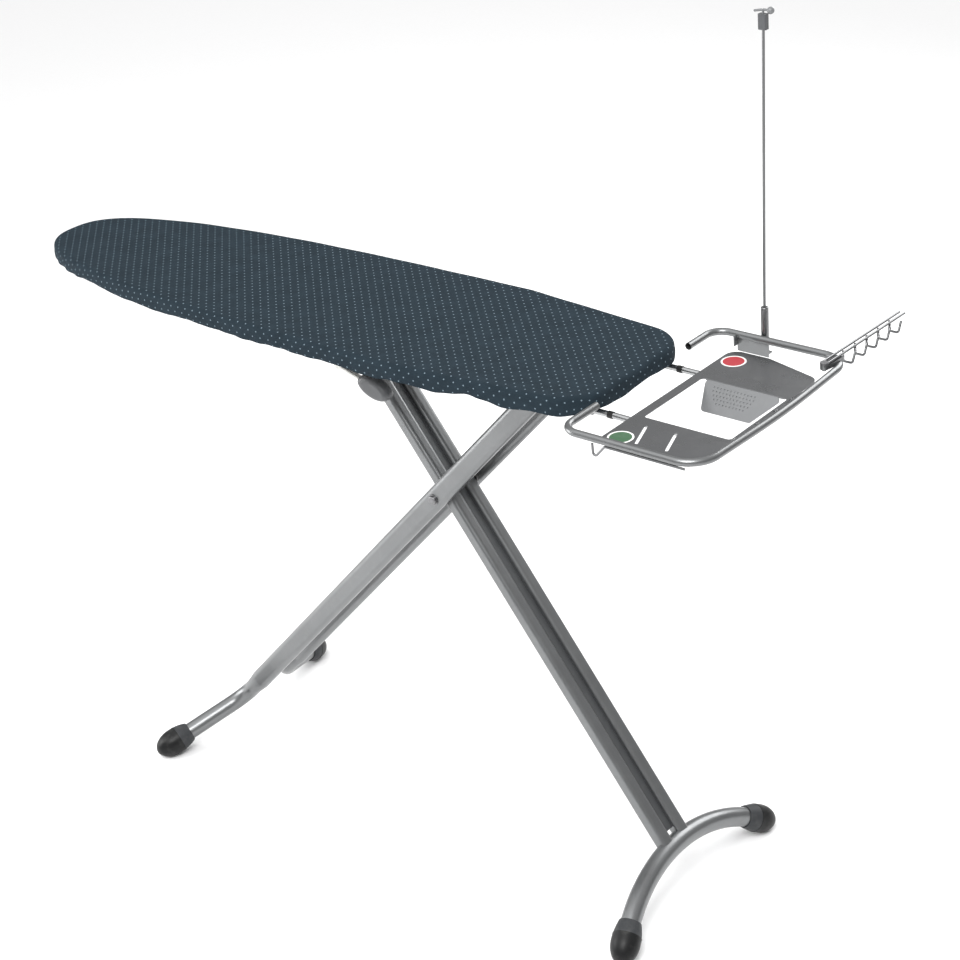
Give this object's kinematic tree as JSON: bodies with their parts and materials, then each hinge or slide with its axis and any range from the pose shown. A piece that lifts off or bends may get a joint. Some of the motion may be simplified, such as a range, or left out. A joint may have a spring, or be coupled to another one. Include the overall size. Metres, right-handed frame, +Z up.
{
  "type": "ironing board",
  "caption": "Folding ironing board with a padded cloth-covered top, crossed legs, a release lever, a pull-out rest, a cable mast and a hanger rack.",
  "frame": {"origin": "middle of the whole object's box in X and Y, on the floor", "axes": "+X along the board from the nose to the steam-station rest, +Z up, +Y towards the side with the cable mast; the lever is on the -Y side"},
  "size_m": [1.5596, 0.6127, 1.4825],
  "materials": {
    "cover": "woven cotton, fine pin dots",
    "pad": "felt and foam",
    "sheet_metal": "satin",
    "silver_paint": "satin, lightly metallic",
    "web_paint": "satin",
    "collar_plastic": "satin",
    "foot_rubber": "soft satin",
    "zinc_steel": "zinc plated",
    "bolt_steel": "dull",
    "black_plastic": "matte",
    "grip_plastic": "matte",
    "plate_paint": "satin",
    "flap_paint": "satin, dimpled",
    "chrome": "polished",
    "band_rubber": "matte",
    "mast_steel": "satin",
    "head_plastic": "matte",
    "clip_plastic": "matte",
    "red_sticker": "semi-gloss",
    "green_sticker": "semi-gloss"
  },
  "bodies": {
    "board": {"cover": "cover", "pad": "pad", "top_sheet": "sheet_metal", "cross_brace_1": "sheet_metal", "cross_brace_2": "sheet_metal", "cross_brace_3": "sheet_metal", "cross_brace_4": "sheet_metal", "near_rail": "sheet_metal", "far_rail": "sheet_metal", "leg_axle": "zinc_steel", "axle_spacers": "black_plastic", "near_rod_socket": "sheet_metal", "far_rod_socket": "sheet_metal"},
    "splayed_leg": {"near_splayed_tube": "silver_paint", "far_splayed_tube": "silver_paint", "hinge_lugs": "silver_paint", "near_splayed_collar": "collar_plastic", "far_splayed_collar": "collar_plastic", "near_splayed_tip": "foot_rubber", "far_splayed_tip": "foot_rubber", "pivot_bolt": "bolt_steel", "bolt_washer": "bolt_steel", "pivot_nut": "bolt_steel", "pivot_spacers": "black_plastic"},
    "t_leg": {"near_t_tube": "silver_paint", "far_t_tube": "silver_paint", "upper_t_web": "web_paint", "lower_t_web": "web_paint", "pivot_sleeve": "zinc_steel", "slide_axle": "zinc_steel", "rollers": "black_plastic", "foot_arch": "silver_paint", "near_t_collar": "collar_plastic", "far_t_collar": "collar_plastic", "near_t_tip": "foot_rubber", "far_t_tip": "foot_rubber"},
    "release_lever": {"lever_shaft": "zinc_steel", "lever_bar": "zinc_steel", "lever_grip": "grip_plastic", "lever_spring": "zinc_steel", "latch_plates": "zinc_steel"},
    "iron_rest": {"rest_frame": "silver_paint", "rest_plate": "plate_paint", "rest_rivets": "bolt_steel", "steam_flap": "flap_paint", "near_rest_rod": "chrome", "far_rest_rod": "chrome", "rod_bands": "band_rubber", "wire_rail": "chrome", "red_label": "red_sticker", "green_label": "green_sticker", "mast_bracket": "plate_paint", "mast_sleeve": "mast_steel", "rack_bracket": "plate_paint", "rack_pin": "bolt_steel"},
    "cable_mast": {"mast_rod": "mast_steel", "mast_head": "head_plastic", "cable_clip": "clip_plastic"},
    "hanger_rack": {"rack_wires": "mast_steel", "hanger_hooks": "mast_steel"}
  },
  "joints": [
    {"name": "fold", "type": "hinge", "parent": "board", "child": "splayed_leg", "pos_m": [0.32604, -0.07166, 0.9355], "axis": [0, 1, 0], "range_deg": [0, 46.9]},
    {"name": "t_leg_fold", "type": "hinge", "parent": "splayed_leg", "child": "t_leg", "pos_m": [0.12923, -0.07166, 0.6656], "axis": [0, 1, 0], "range_deg": [-93.8, 0]},
    {"name": "lever_pull", "type": "hinge", "parent": "board", "child": "release_lever", "pos_m": [-0.00558, -0.07166, 0.93], "axis": [0, 1, 0], "range_deg": [-14, 0], "stiffness_Nm_per_rad": 3, "springref_deg": 5.73},
    {"name": "rest_pull", "type": "slide", "parent": "board", "child": "iron_rest", "axis": [1, 0, 0], "range_m": [0, 0.08]},
    {"name": "mast_turn", "type": "hinge", "parent": "iron_rest", "child": "cable_mast", "pos_m": [0.60873, 0.14534, 0.942], "axis": [0, 0, 1], "continuous": true},
    {"name": "rack_swing", "type": "hinge", "parent": "iron_rest", "child": "hanger_rack", "pos_m": [0.75123, 0.08434, 0.96825], "axis": [0, 0, 1], "range_deg": [-95, 0]}
  ],
  "couplings": [
    {"joint": "t_leg_fold", "follows": "fold", "ratio": -2}
  ]
}
